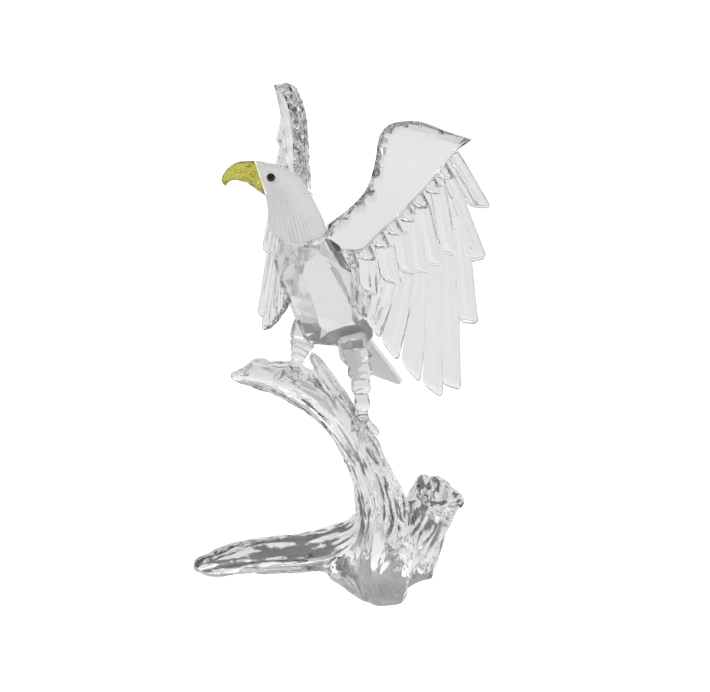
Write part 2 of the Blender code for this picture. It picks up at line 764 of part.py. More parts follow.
def leg_form(side, tree, grow=0.0):
    """The faceted thigh, the feathered shank with its tufts, the ankle and four toes, all one piece."""
    hip, knee, ankle = (Vector(point) for point in LEGS[side])
    foot = tree.ray_cast(ankle + Vector((0, 0, THIGH_RADIUS)), Vector((0, 0, -1)))[0]
    thigh_way, shank_way = (knee - hip), (ankle - knee)
    thigh = thigh_way.length
    radii = (THIGH_RADIUS - THIGH_BEVEL, THIGH_RADIUS, THIGH_RADIUS, THIGH_RADIUS - THIGH_BEVEL)
    drops = (-grow, THIGH_BEVEL, thigh - THIGH_BEVEL, thigh + grow)
    drum = loft(drum_rings(hip, thigh_way.normalized(), radii, drops, grow))
    rings = []
    shank = shank_way.length
    down = shank_way.normalized()
    for k in range(TUFTS):
        low_radius = mix(*SHANK_RADII, (k + 0.5) / TUFTS)
        radii = (low_radius - TUFT_STEP, low_radius)
        drops = (shank * (k - 0.1) / TUFTS, shank * (k + 0.85) / TUFTS + grow)
        rings += drum_rings(knee, down, radii[:1], drops[:1], grow)
        rings += drum_rings(knee, down, radii[1:], drops[1:], grow, TUFT_DROP)
    ankle_radius = SHANK_RADII[1] - TUFT_STEP
    rings += drum_rings(ankle, down, (ankle_radius, ankle_radius), (0.3 + grow, 1.0 + grow), grow)
    parts = [loft(rings)]
    parts.append(strand(((*ankle, ankle_radius), (*foot, ankle_radius)), LEG_SIDES, 2, grow=grow))
    for heading, length in TOES[side]:
        parts.append(strand(toe_stations(tree, foot, heading, length), TOE_SIDES, 1, grow=grow))
    return boolean(drum, parts, "UNION")


def make_leg(side, tree):
    return boolean(leg_form(side, tree), [body_form(GLUE_GAP)], "DIFFERENCE")


def main():
    for old in list(bpy.data.objects):
        bpy.data.objects.remove(old)
    clear = crystal("clear_crystal", (0.95, 0.97, 0.97), 0.02)
    frosted = crystal("frosted_crystal", (0.86, 0.87, 0.85), 0.45, 0.6)
    yellow = crystal("yellow_crystal", (0.80, 0.68, 0.04), 0.05, 0.8)
    jet = crystal("jet_crystal", (0.02, 0.015, 0.01), 0.08, 0.0)

    branch = make_branch()
    tree = branch_tree(branch)
    for side in LEGS:
        finish(make_leg(side, tree), f"leg_{side}", clear)
    feet = [leg_form(side, tree, GLUE_GAP) for side in LEGS]
    finish(boolean(branch, feet, "DIFFERENCE"), "branch", clear, 50)

    body = boolean(body_form(), [beyond_neck(1, GLUE_GAP)], "DIFFERENCE")
    finish(body, "body", clear)
    head = head_form()
    cheek = cheek_distance(head)
    sockets = [
        eye_disc(side, EYE_RADIUS + GLUE_GAP, cheek - SOCKET_DEPTH, cheek + SOCKET_DEPTH) for side in (1, -1)
    ]
    finish(boolean(head, sockets, "DIFFERENCE"), "head", frosted, 40)
    finish(beak_form(), "beak", yellow, 40)
    for name, side in (("left", 1), ("right", -1)):
        finish(make_eye(side, cheek), f"eye_{name}", jet, 40)
        finish(make_wing(side), f"wing_{name}", clear)
    finish(make_tail(), "tail", frosted)


main()
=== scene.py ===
"""The looks of a crystal eagle with raised wings on a driftwood branch of crystal.

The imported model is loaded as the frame, in metres. Each section below makes one piece or a group
of like pieces, in the order in which the figurine is put together, from the branch upwards.
"""

import math

import bmesh
import bpy
import numpy as np
from mathutils import Matrix, Vector


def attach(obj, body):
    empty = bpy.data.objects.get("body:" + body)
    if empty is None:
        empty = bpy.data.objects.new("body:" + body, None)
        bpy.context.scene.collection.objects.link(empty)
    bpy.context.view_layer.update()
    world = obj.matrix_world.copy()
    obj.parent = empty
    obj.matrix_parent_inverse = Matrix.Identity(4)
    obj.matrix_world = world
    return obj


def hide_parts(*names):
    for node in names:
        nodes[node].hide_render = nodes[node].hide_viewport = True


MM = 0.001
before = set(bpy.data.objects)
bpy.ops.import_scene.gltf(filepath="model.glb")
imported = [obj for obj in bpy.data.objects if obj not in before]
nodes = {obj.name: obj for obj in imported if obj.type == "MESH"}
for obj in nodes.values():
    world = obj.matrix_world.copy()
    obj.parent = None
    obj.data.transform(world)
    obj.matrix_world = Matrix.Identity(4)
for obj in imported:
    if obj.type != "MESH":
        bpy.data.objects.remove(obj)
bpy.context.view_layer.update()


# The studio, as glass is photographed: a pale table that glows most round the figurine, in a dark room
# with an upright soft light on each side and another overhead, so that the cut edges turn dark. The
# background itself is plain white.

PHOTO_ELEVATION = math.radians(15)
PHOTO_TARGET = Vector((-0.010, 0.0, 0.085))
PHOTO_DISTANCE = 0.8875
PHOTO_LENS = 135
TABLE_RADIUS = 5.0
TABLE_DROP = 0.0002
TABLE_GLOW = 0.64
TABLE_EDGE_GLOW = 0.06
# Where the table's glow rises on the side of the camera, falls off behind, and falls off to each side.
GLOW_FRONT = (-0.40, -0.05)
GLOW_BACK = (0.7, 1.5)
GLOW_ASIDE = (0.3, 0.8)
# The brighter patch round the figurine's foot: its middle along X, where it fades, and its strength.
PATCH_MIDDLE = -0.015
PATCH_REACH = (0.012, 0.05)
PATCH_GLOW = 1.7
# The lights of the room: how strong each is, and where it fades in or out, on a globe of radius 1.
ROOM_LIGHT = 0.09
HORIZON_TOP = (0.01, 0.05)
SIDE_LIGHT = 0.9
SIDE_INNER = (0.80, 0.84)
SIDE_FOOT = (0.10, 0.16)
SIDE_TOP = (0.52, 0.60)
SIDE_REAR = (0.20, 0.28)
CEILING_LIGHT = 0.6
CEILING_START = (0.88, 0.91)
BACKDROP_LIGHT = 0.55
BACKDROP_START = (0.62, 0.86)
BACKDROP_TOP = (0.40, 0.68)
# The lamps: each one's name, place, width and height, and power.
LAMPS = (
    ("key_light", (-0.5, -0.6, 0.9), (0.4, 0.4), 2.0),
    ("side_light", (0.8, -0.2, 0.5), (0.25, 0.6), 4.0),
    ("front_light", (-0.3, -0.9, 0.03), (0.4, 0.4), 3.4),
)
# Light passes through many cut faces on its way out of the crystal.
GLASS_BOUNCES = 24
GLOSS_BOUNCES = 8


class Signal:
    """A number that changes over a surface. Sums and products of such numbers read as plain maths."""

    def __init__(self, shading, socket):
        self.shading = shading
        self.socket = socket

    def maths(self, operation, first, second):
        return self.shading.node("ShaderNodeMath", {"operation": operation}, {0: first, 1: second})

    def __add__(self, other):
        return self.maths("ADD", self, other)

    def __radd__(self, other):
        return self.maths("ADD", other, self)

    def __sub__(self, other):
        return self.maths("SUBTRACT", self, other)

    def __rsub__(self, other):
        return self.maths("SUBTRACT", other, self)

    def __mul__(self, other):
        return self.maths("MULTIPLY", self, other)

    def __rmul__(self, other):
        return self.maths("MULTIPLY", other, self)

    def __truediv__(self, other):
        return self.maths("DIVIDE", self, other)

    def __pow__(self, power):
        return self.maths("POWER", self, power)

    def sine(self):
        return self.maths("SINE", self, 0.0)

    def root(self):
        return self.maths("SQRT", self, 0.0)

    def size(self):
        return self.maths("ABSOLUTE", self, 0.0)

    def at_least(self, low):
        return self.maths("MAXIMUM", self, low)


class Shading:
    """Adds nodes to one material's or world's tree, in front of the node that it ends with."""

    def __init__(self, owner, end):
        owner.use_nodes = True
        self.tree = owner.node_tree
        self.end = self.tree.nodes[end]

    def node(self, kind, settings, sockets, output=0):
        """A new node. Its settings are set first, then the values or links of its sockets."""
        made = self.tree.nodes.new(kind)
        for name, value in settings.items():
            if name == "stops":
                ramp = made.color_ramp
                while len(ramp.elements) < len(value):
                    ramp.elements.new(1.0)
                for stop, (place, colour) in zip(ramp.elements, value):
                    stop.position = place
                    stop.color = (*colour, 1.0)
            else:
                setattr(made, name, value)
        for name, value in sockets.items():
            if isinstance(value, Signal):
                self.tree.links.new(value.socket, made.inputs[name])
            else:
                made.inputs[name].default_value = value
        return Signal(self, made.outputs[output])

    def object_point(self):
        return self.node("ShaderNodeTexCoord", {}, {}, "Object")

    def part(self, vector, axis):
        return self.node("ShaderNodeSeparateXYZ", {}, {"Vector": vector}, axis)

    def rise(self, value, start, end):
        """Rises softly from 0 to 1 between two values."""
        span = {"Value": value, "From Min": start, "From Max": end}
        return self.node("ShaderNodeMapRange", {"interpolation_type": "SMOOTHSTEP"}, span)

    def fall(self, value, start, end):
        """Falls softly from 1 to 0 between two values."""
        return 1 - self.rise(value, start, end)

    def noise(self, point, waves, detail=2.0):
        """Soft noise from 0 to 1, with so many waves to the metre."""
        return self.node("ShaderNodeTexNoise", {}, {"Vector": point, "Scale": waves, "Detail": detail}, 0)

    def worked(self, name):
        """A number that the piece's own mesh carries."""
        return self.node("ShaderNodeAttribute", {"attribute_name": name}, {}, "Fac")

    def between(self, share, first, second):
        """A colour from the first to the second."""
        stops = ((0.0, first), (1.0, second))
        return self.node("ShaderNodeValToRGB", {"stops": stops}, {"Fac": share}, "Color")

    def feed(self, socket, value):
        """Links a signal to a socket of the last node."""
        self.tree.links.new(value.socket, self.end.inputs[socket])


def surface(name, values):
    """A material and its shading, with plain values on the shader's own sockets."""
    material = bpy.data.materials.new(name)
    shading = Shading(material, "Principled BSDF")
    for socket, value in values.items():
        shading.end.inputs[socket].default_value = value
    return material, shading


def paint(piece, material):
    piece.data.materials.clear()
    piece.data.materials.append(material)


def studio_world():
    world = bpy.data.worlds.new("studio")
    bpy.context.scene.world = world
    shading = Shading(world, "Background")
    direction = shading.node("ShaderNodeTexCoord", {}, {}, "Generated")
    aside = shading.part(direction, "X").size()
    back = shading.part(direction, "Y")
    height = shading.part(direction, "Z")
    horizon = shading.fall(height, *HORIZON_TOP)
    side_lights = shading.rise(aside, *SIDE_INNER) * shading.rise(height, *SIDE_FOOT)
    side_lights = side_lights * shading.fall(height, *SIDE_TOP) * shading.fall(back, *SIDE_REAR)
    ceiling_light = shading.rise(height, *CEILING_START)
    backdrop = shading.rise(back, *BACKDROP_START) * shading.fall(height, *BACKDROP_TOP)
    light = ROOM_LIGHT + horizon + SIDE_LIGHT * side_lights + CEILING_LIGHT * ceiling_light
    light = light + BACKDROP_LIGHT * backdrop
    seen = shading.node("ShaderNodeLightPath", {}, {}, "Is Camera Ray")
    shading.feed("Color", seen + (1 - seen) * light)


def studio_table():
    bpy.ops.mesh.primitive_circle_add(
        vertices=96, radius=TABLE_RADIUS, fill_type="NGON", location=(0, 0, -TABLE_DROP)
    )
    table = bpy.context.object
    table.name = "table"
    plain = {"Base Color": (0.16, 0.16, 0.16, 1.0), "Roughness": 0.08, "Emission Strength": 1.0}
    material, shading = surface("pale_table", plain)
    point = shading.object_point()
    across = shading.part(point, "X")
    back = shading.part(point, "Y")
    glow = shading.rise(back, *GLOW_FRONT) * shading.fall(back, *GLOW_BACK)
    glow = glow * shading.fall(across.size(), *GLOW_ASIDE)
    aside = across - PATCH_MIDDLE
    gap = (aside * aside + back * back).root()
    glow = glow * (PATCH_GLOW + (1 - PATCH_GLOW) * shading.rise(gap, *PATCH_REACH))
    seen = shading.node("ShaderNodeLightPath", {}, {}, "Is Camera Ray")
    glow = seen + (1 - seen) * (TABLE_EDGE_GLOW + (TABLE_GLOW - TABLE_EDGE_GLOW) * glow)
    shading.feed("Emission Color", glow)
    paint(table, material)


def soft_light(name, place, size, power):
    light = bpy.data.lights.new(name, "AREA")
    light.shape = "RECTANGLE"
    light.size, light.size_y = size
    light.energy = power
    lamp = bpy.data.objects.new(name, light)
    bpy.context.scene.collection.objects.link(lamp)
    lamp.location = place
    lamp.rotation_mode = "QUATERNION"
    lamp.rotation_quaternion = (PHOTO_TARGET - lamp.location).to_track_quat("-Z", "Y")
    lamp.visible_glossy = False
    lamp.visible_transmission = False


def studio_camera():
    camera = bpy.data.cameras.new("camera")
    camera.lens = PHOTO_LENS
    camera.clip_start = 0.01
    camera.clip_end = 50
    eye = bpy.data.objects.new("camera", camera)
    bpy.context.scene.collection.objects.link(eye)
    back = Vector((0, -math.cos(PHOTO_ELEVATION), math.sin(PHOTO_ELEVATION)))
    eye.location = PHOTO_TARGET + PHOTO_DISTANCE * back
    eye.rotation_mode = "QUATERNION"
    eye.rotation_quaternion = (-back).to_track_quat("-Z", "Y")
    bpy.context.scene.camera = eye


studio_world()
studio_table()
for lamp in LAMPS:
    soft_light(*lamp)
studio_camera()
scene = bpy.context.scene
scene.view_settings.view_transform = "Standard"
scene.cycles.max_bounces = GLASS_BOUNCES
scene.cycles.transmission_bounces = GLASS_BOUNCES
scene.cycles.glossy_bounces = GLOSS_BOUNCES
scene.cycles.caustics_reflective = False
scene.cycles.caustics_refractive = False


# The branch: one block of clear lead crystal, cast as driftwood. Its grain of long grooves was cut
# with small wheels and polished, so that it bends the light into dark streaks. Painted shade, a smoky
# tint put into the grooves' colour, deepens them, most on top of the low root and in the stump.

CLEAR = {
    "Base Color": (0.92, 0.93, 0.925, 1.0),
    "Roughness": 0.0,
    "IOR": 1.54,
    "Transmission Weight": 1.0,
}
DRIFTWOOD = {**CLEAR, "IOR": 1.45}
# The colour of the clear crystal, and the painted shade's smoky tint where a groove is darkest.
CRYSTAL_AND_PAINTED_SHADE = ((0.92, 0.93, 0.925), (0.05, 0.053, 0.056))
BRANCH_CELL = 0.28
BRANCH_EASE = 40
BRANCH_POLISH = 4
BRANCH_FACES = 195000
# The way the grain runs: the middle lines of the strands, each with X, Y, Z and radius.
GRAIN_LINES = (
    ((-51, 12.5, 71, 3), (-43, 10.5, 72.6, 5.6), (-30, 5.5, 69.6, 6), (-16.4, 1.5, 60.2, 6.2),
     (-6.8, 0.5, 44.6, 6.4), (-2.2, 2.5, 28, 8.2), (0, 6, 18, 10), (1, 6.5, 4, 11.5)),
    ((-3, 5, 24, 6.5), (-8, 6.5, 16, 7.6), (-16, 8.5, 11.6, 8.3), (-28, 9.6, 9.2, 7.6),
     (-40, 10, 8, 6.9), (-49.5, 10, 6.6, 6), (-62, 9.5, 4, 4.1)),
    ((-24.3, 4, 80.4, 2.4), (-15.8, 0.5, 67.4, 3.8), (-5.6, -1, 48.6, 5.4), (1, -2, 28.6, 7.8),
     (1, -4, 18, 9.4), (0, -11.5, 2, 8.4)),
    ((18.7, 3, 32, 9.8), (12.5, 7.6, 17, 9.6), (7, 13, 0, 9.5)),
    ((-18, 9.5, 5.6, 5.4), (-11.8, 4, 4.8, 6.4), (-6.4, -3.5, 3.8, 7.4), (-1.6, -10.5, 2.4, 8)),
    ((-2, 4, 34, 4.6), (5, 17, 10, 7.4), (8, 23, 2, 5.4)),
)
# Where the grain circles a knot: the knot's middle, the way it faces, its reach, its upright stretch
# and how deep the cuts are there, as a share.
KNOTS = (
    ((5.0, -13.0, 4.5), (0.0, -1.0, 0.25), 15.0, 1.3, 0.55),
    ((19.5, -5.0, 31.0), (0.45, -0.55, 0.7), 7.5, 1.0, 0.9),
)
# The front foot is pale and softly matt: its middle's X and Z, and how far that reaches.
FOOT = (1.0, 8.0)
FOOT_REACH = 9.0
# The share that a knot, the stump or the foot has at its middle, which counts as 1 at most, and how
# much of it is lost over one reach.
KNOT_TURN = (1.6, 1.2)
KNOT_CALM = (1.6, 1.0)
STUMP_NEAR = (2.0, 1.0)
FOOT_NEAR = (1.8, 1.0)
GRAIN_GRID = 3.0
GRAIN_STEP = 0.9
GRAIN_SEED = 11
# The cuts, from the broad to the fine: width across the grain, length along it, depth, and where the
# cut starts and reaches its full depth, on a scale with 0 as the middle and 1 as a usual swing.
CUTS = (
    (3.2, 26.0, 1.30, -1.3, 1.5),
    (1.6, 18.0, 0.60, -0.9, 1.5),
    (1.0, 10.0, 0.20, -0.6, 1.5),
)
BACK_SHARE = 0.3
# The cuts fade in over this height above the ground.
CUT_RISE = 1.5
# What lies lower than this is ground flat.
FLAT = 0.25
# The low root is cut deeper on its upper side: where it starts, over what length the change comes,
# how high the root is, and the share added.
ROOT_END = -8.0
ROOT_CHANGE = 6.0
ROOT_HEIGHT = 22.0
ROOT_SHARE = 0.35
# Where along the cuts' swing the painted shade in the grooves starts, and where it is darkest.
PAINTED_SHADE_START = 0.55
PAINTED_SHADE_FULL = 1.4
# The part that the middle cuts have in this, beside the fine ones.
MIDDLE_CUTS = 0.9
# How much sooner the painted shade comes on top of the low root, and how many times as much sooner in the
# stump.
STRONG_LEAD = 1.1
STUMP_LEAD = 1.3
# The share of the painted shade that is lost high on the trunk, between these heights, on the foot and
# behind.
HIGH_SPAN = (45.0, 65.0)
HIGH_LOSS = 0.45
FOOT_LOSS = 0.9
BACK_LOSS = 0.7
# The ground underside: how far down it faces, how high it reaches, how rough it is, and how much of
# that roughness the foot has.
GROUND_FACING = -0.6
GROUND_TOP = 1.0
GROUND_ROUGHNESS = 0.65
FOOT_MATT = 0.12
# The axes that point away from the viewer and up.
AWAY, UP = 1, 2
# Smooth random numbers: how many there are, and how the cells are spread over them.
SPECKLES = 8192
CELL_SPREAD = (7349, 1933, 8351)


def copied(name, node):
    """A new object with a merged copy of a node's mesh, in millimetres."""
    bm = bmesh.new()
    bm.from_mesh(nodes[node].data)
    bmesh.ops.remove_doubles(bm, verts=bm.verts, dist=1e-7)
    bmesh.ops.scale(bm, verts=bm.verts, vec=(1 / MM, 1 / MM, 1 / MM))
    mesh = bpy.data.meshes.new(name)
    bm.to_mesh(mesh)
    bm.free()
    piece = bpy.data.objects.new(name, mesh)
    bpy.context.scene.collection.objects.link(piece)
    return piece


def settled(piece):
    """Turns the piece's modifiers into plain mesh."""
    graph = bpy.context.evaluated_depsgraph_get()
    mesh = bpy.data.meshes.new_from_object(piece.evaluated_get(graph))
    piece.modifiers.clear()
    piece.data = mesh
    return piece


def finished(piece, node, material):
    """Turns millimetres into metres, and lets the piece stand for the node in its material."""
    piece.data.transform(Matrix.Scale(MM, 4))
    paint(piece, material)
    # Crystal lets the lamps' light through, so that no piece casts a dark shadow.
    piece.visible_shadow = False
    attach(piece, "root")
    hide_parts(node)


def mesh_points(mesh, what="co"):
    """The place or the facing of each point of a mesh."""
    flat = np.empty(3 * len(mesh.vertices))
    mesh.vertices.foreach_get(what, flat)
    return flat.reshape(-1, 3)


def move_points(mesh, points):
    mesh.vertices.foreach_set("co", points.ravel())


def melt(piece, cell):
    """Gives the piece one even skin, as if it were melted."""
    skin = piece.modifiers.new("skin", "REMESH")
    skin.mode = "VOXEL"
    skin.voxel_size = cell
    skin.use_smooth_shade = True


def ease(piece, steps):
    """Softens the piece's skin."""
    soft = piece.modifiers.new("soft", "SMOOTH")
    soft.factor = 0.5
    soft.iterations = steps
    return soft


def carve(piece, depth):
    """Takes the piece's skin back by a depth, which may differ from point to point."""
    depth = np.reshape(depth, (-1, 1))
    move_points(piece.data, mesh_points(piece.data) - mesh_points(piece.data, "normal") * depth)


def grind_level(piece, height):
    """Sets what lies lower than a height down on the ground."""
    points = mesh_points(piece.data)
    points[:, 2] = np.where(points[:, 2] < height, 0, points[:, 2])
    move_points(piece.data, points)


def carry(piece, name, values):
    """Stores a number at each point of the piece."""
    piece.data.attributes.new(name, "FLOAT", "POINT").data.foreach_set("value", values)


def softened(share):
    """A straight rise from 0 to 1, with its ends softened."""
    return share * share * (3 - 2 * share)


def nearness(gap, reach, start, loss):
    """A share from 0 to 1 that is lost with the gap from a place."""
    return np.clip(start - loss * gap / reach, 0, 1)


def turned(normals, axis, start, rise=1.0):
    """A share from 0 to 1 that rises as the skin turns to face along an axis."""
    return np.clip(start + rise * normals[:, axis], 0, 1)


def speckle(points, size, seed):
    """Smooth random numbers from -1 to 1, with one to each cell of that size."""
    numbers = np.random.default_rng(seed).uniform(-1, 1, SPECKLES)
    place = points / size
    corner = np.floor(place).astype(np.int64)
    share = softened(place - corner)
    total = np.zeros(len(points))
    for step in np.ndindex(2, 2, 2):
        weight = np.prod(np.where(step, share, 1 - share), axis=1)
        key = (corner + step) @ CELL_SPREAD
        total += weight * numbers[(key ^ (key >> 7)) & (SPECKLES - 1)]
    return total


def grain_ways(points):
    """The way the grain runs at each point, from the strands and the knots near it."""
    ways = np.zeros((len(points), 3))
    for line in GRAIN_LINES:
        line = np.array(line, dtype=float)
        for start, end in zip(line, line[1:]):
            way = end[:3] - start[:3]
            share = np.clip((points - start[:3]) @ way / (way @ way), 0, 1)
            gap = points - start[:3] - share[:, None] * way
            reach = start[3] + share * (end[3] - start[3])
            weight = np.exp(-2 * (gap**2).sum(axis=1) / reach**2)
            ways += weight[:, None] * way / math.sqrt(way @ way)
    ways /= np.linalg.norm(ways, axis=1)[:, None] + 1e-9
    for middle, facing, reach, stretch, _ in KNOTS:
        out = points - middle
        out[:, 2] /= stretch
        round_knot = np.cross(np.array(facing) / np.linalg.norm(facing), out)
        round_knot[:, 2] *= stretch
        strength = nearness(np.linalg.norm(out, axis=1), reach, *KNOT_TURN)[:, None]
        round_knot /= np.linalg.norm(round_knot, axis=1)[:, None] + 1e-9
        ways = ways * (1 - strength) + round_knot * strength
    return ways / (np.linalg.norm(ways, axis=1)[:, None] + 1e-9)


class GrainField:
    """The grain's way, worked out once on a grid and read between its corners."""

    def __init__(self, low, high):
        self.low = low - GRAIN_GRID
        counts = np.ceil((high - self.low) / GRAIN_GRID).astype(int) + 2
        axes = [self.low[k] + GRAIN_GRID * np.arange(counts[k]) for k in range(3)]
        grid = np.stack(np.meshgrid(*axes, indexing="ij"), axis=-1)
        self.ways = grain_ways(grid.reshape(-1, 3)).reshape(*counts, 3)

    def at(self, points):
        place = (points - self.low) / GRAIN_GRID
        corner = np.clip(np.floor(place).astype(int), 0, np.array(self.ways.shape[:3]) - 2)
        share = np.clip(place - corner, 0, 1)
        total = np.zeros((len(points), 3))
        for step in np.ndindex(2, 2, 2):
            weight = np.prod(np.where(step, share, 1 - share), axis=1)
            total += weight[:, None] * self.ways[tuple((corner + step).T)]
        return total / (np.linalg.norm(total, axis=1)[:, None] + 1e-9)


def grain_stripes(points, field):
    """For each cut, speckle that is averaged along the grain, so that it turns into long soft stripes."""
    totals = [speckle(points, cut[0], GRAIN_SEED + k) for k, cut in enumerate(CUTS)]
    longest = max(cut[1] for cut in CUTS)
    for sense in (1, -1):
        walker = points.copy()
        for step in range(1, round(longest / 2 / GRAIN_STEP) + 1):
            walker += sense * GRAIN_STEP * field.at(walker)
            for k, (width, length, *_) in enumerate(CUTS):
                if step * GRAIN_STEP <= length / 2:
                    totals[k] += speckle(walker, width, GRAIN_SEED + k)
    return [total / total.std() for total in totals]


def on_low_root(points):
    """From 0 to 1, out along the low root."""
    return np.clip((ROOT_END - points[:, 0]) / ROOT_CHANGE, 0, 1) * (points[:, 2] < ROOT_HEIGHT)


def near_foot(points):
    """From 0 to 1, towards the middle of the front foot."""
    gap = np.hypot(points[:, 0] - FOOT[0], points[:, 2] - FOOT[1])
    return nearness(gap, FOOT_REACH, *FOOT_NEAR)


def grain_depth(points, normals, rows):
    """How deep the grain is cut at each point. It is shallow behind, and calmer round the knots."""
    depth = np.zeros(len(points))
    for row, (_, _, cut, start, full) in zip(rows, CUTS):
        depth += cut * softened(np.clip((row - start) / (full - start), 0, 1))
    level = depth.mean()
    for middle, _, reach, _, share in KNOTS:
        near = nearness(np.linalg.norm(points - middle, axis=1), reach, *KNOT_CALM)
        depth += (level - depth) * (1 - share) * softened(near)
    depth *= 1 - (1 - BACK_SHARE) * turned(normals, AWAY, 0.2)
    depth *= 1 + ROOT_SHARE * on_low_root(points) * turned(normals, UP, 0.3)
    return depth * np.clip(points[:, 2] / CUT_RISE, 0, 1)


def groove_painted_shade(points, normals, rows):
    """How much painted shade there is at each point, from 0 to 1, deepest in the grooves. The underside
    has none.
    """
    on_top = on_low_root(points) * turned(normals, UP, -0.2, 2.0)
    stump, _, reach, _, _ = KNOTS[1]
    in_stump = nearness(np.linalg.norm(points - stump, axis=1), reach, *STUMP_NEAR)
    lead = STRONG_LEAD * np.maximum(on_top, STUMP_LEAD * in_stump)
    swing = MIDDLE_CUTS * rows[1] + rows[2]
    tone = np.clip((swing - PAINTED_SHADE_START + lead) / (PAINTED_SHADE_FULL - PAINTED_SHADE_START), 0, 1)
    low, high = HIGH_SPAN
    tone *= 1 - HIGH_LOSS * np.clip((points[:, 2] - low) / (high - low), 0, 1)
    tone *= 1 - FOOT_LOSS * near_foot(points)
    tone *= 1 - BACK_LOSS * turned(normals, AWAY, 0.3)
    return tone * turned(normals, UP, 1.6, 2.0)


def matt_share(points, normals):
    """How matt each point is: wholly so on the ground underside, and faintly on the front foot."""
    ground = (normals[:, 2] < GROUND_FACING) & (points[:, 2] < GROUND_TOP)
    return np.where(ground, 1.0, FOOT_MATT * near_foot(points))


def make_branch():
    branch = copied("crystal_branch", "branch")
    melt(branch, BRANCH_CELL)
    ease(branch, BRANCH_EASE)
    settled(branch)
    points = mesh_points(branch.data)
    normals = mesh_points(branch.data, "normal")
    rows = grain_stripes(points, GrainField(points.min(axis=0), points.max(axis=0)))
    # The painted shade that darkens the grooves, carried on the mesh.
    carry(branch, "tone", groove_painted_shade(points, normals, rows))
    carry(branch, "matt", matt_share(points, normals))
    carve(branch, grain_depth(points, normals, rows))
    grind_level(branch, 0)
    ease(branch, BRANCH_POLISH)
    settled(branch)
    grind_level(branch, FLAT)
    thin = branch.modifiers.new("thin", "DECIMATE")
    thin.ratio = min(1.0, BRANCH_FACES / (2 * len(branch.data.polygons)))
    settled(branch)
    branch.data.shade_smooth()
    return branch


driftwood, shading = surface("driftwood_crystal", DRIFTWOOD)
# Painted shade: the colour runs from the clear crystal's to a smoky tint where the grooves are to look
# darker.
shading.feed("Base Color", shading.between(shading.worked("tone"), *CRYSTAL_AND_PAINTED_SHADE))
shading.feed("Roughness", GROUND_ROUGHNESS * shading.worked("matt"))
finished(make_branch(), "branch", driftwood)


# The wings: a plate of clear crystal each, glued into the side of the body. The arm is a broad flat
# panel with a chipped bevel along its leading edge, and the scales and feathers below it are ground
# as overlapping steps.

POLISHED = {**CLEAR, "Roughness": 0.05}
# The faint cloud in clear crystal: its waves to the metre, its two tones, and its detail.
CLEAR_CLOUD = (60.0, (0.90, 0.91, 0.905), (0.94, 0.95, 0.945), 1.0)
BIRD_PLACE = (-19.5, 1.0, 105.0)
BIRD_HEADING = 228.0
BIRD_ROLL = -6.0
SHOULDER = (4.75, 5.9, 23.6)
WING_SWEEP = 31.5
# The plate is bent and twisted towards its tip, by so much at this width and length.
WING_BOW = -1.0
WING_TWIST = 2.0
WING_TWIST_LENGTH = 50.0
WING_CURL = 3.0
WING_CURL_SPAN = (12.0, 34.0)
# Edges sharper than this, in degrees, stay crisp.
WING_CREASE = 18
ARM_HALF = 2.8
# The bevel of the leading edge, at the shoulder and at the wing's tip.
ARM_BEVELS = (4.2, 2.2)
ARM_REAR_BEVEL = 0.8
ARM_REAR_HALF = 1.7
ARM_EDGE_HALF = 0.6
# How much the bevel bulges at its middle.
BEVEL_BULGE = 0.2
CHIP = 0.12
# How far every other chip stands out, and how many points have none at the shoulder and the tip.
CHIP_STEP = 0.8
CHIP_SEED = 5
PLAIN_ENDS = (2, 3)
CURVE_STEPS = 3
LEADING_EDGE = (
    (-9.0, -7.0), (-3.3, -0.9), (5.0, 7.3), (9.7, 14.6), (11.7, 24.0), (12.4, 31.5),
    (15.2, 36.4), (21.5, 38.7), (27.0, 38.5), (33.0, 36.6), (42.0, 34.3),
)
TRAILING_EDGE = (
    (42.0, 34.3), (36.6, 28.9), (30.7, 19.2), (22.5, 7.8), (15.3, -0.6), (9.4, -7.6),
    (2.0, -8.6), (-9.0, -12.0),
)
# Each feather has the U and V of its outer edge's root and tip, its width, and its tip's slant.
FLIGHT_FEATHERS = (
    (38.2, 29.9, 50.0, 12.3, 6.2, 0.6),
    (37.5, 21.5, 50.3, -4.2, 6.2, 0.1),
    (42.6, 9.0, 49.9, -26.4, 6.2, 0.15),
    (40.2, 4.0, 46.4, -49.5, 6.6, 0.28),
    (37.0, 0.0, 40.6, -53.2, 6.8, 0.6),
    (34.2, -3.0, 32.7, -49.4, 7.2, 0.85),
    (30.2, -4.0, 24.8, -43.0, 7.2, 0.75),
    (24.4, -10.0, 18.2, -36.3, 6.8, 0.7),
    (18.5, -8.0, 16.0, -32.5, 8.0, 0.6),
    (10.5, -10.0, 14.6, -27.0, 8.0, 0.4),
)
COVERTS = (
    (35.0, 18.0, 41.1, -4.8, 5.6, 0.3),
    (30.6, 10.5, 36.7, -8.8, 5.6, 0.3),
    (28.0, 8.0, 31.9, -12.4, 5.4, 0.3),
    (24.6, 1.0, 28.1, -12.9, 5.6, 0.4),
    (20.4, -4.0, 23.9, -17.0, 7.0, 0.5),
    (14.6, -9.0, 16.4, -21.6, 6.4, 0.5),
)
FLIGHT_THICKNESS = 2.4
COVERT_THICKNESS = 3.4
SCALES = 9
SCALE_SPAN = (0.16, 0.86)
SCALE_LEAN = (0.5, -0.866)
SCALE_REACH = 5.6
SCALE_ROOT = 3.0
SCALE_WIDTH = 5.0
SCALE_SLANT = 0.55
SCALE_THICKNESS = 4.4
FEATHER_TILT = 0.10
FEATHER_RIM = 0.30
FEATHER_SHAFT = 0.20
FEATHER_CELLS = (30, 15)
# Where the shaft ends, to its sides and towards the tip, as shares of the feather.
SHAFT_SIDE = (0.02, 0.12)
SHAFT_TIP = (0.8, 0.95)
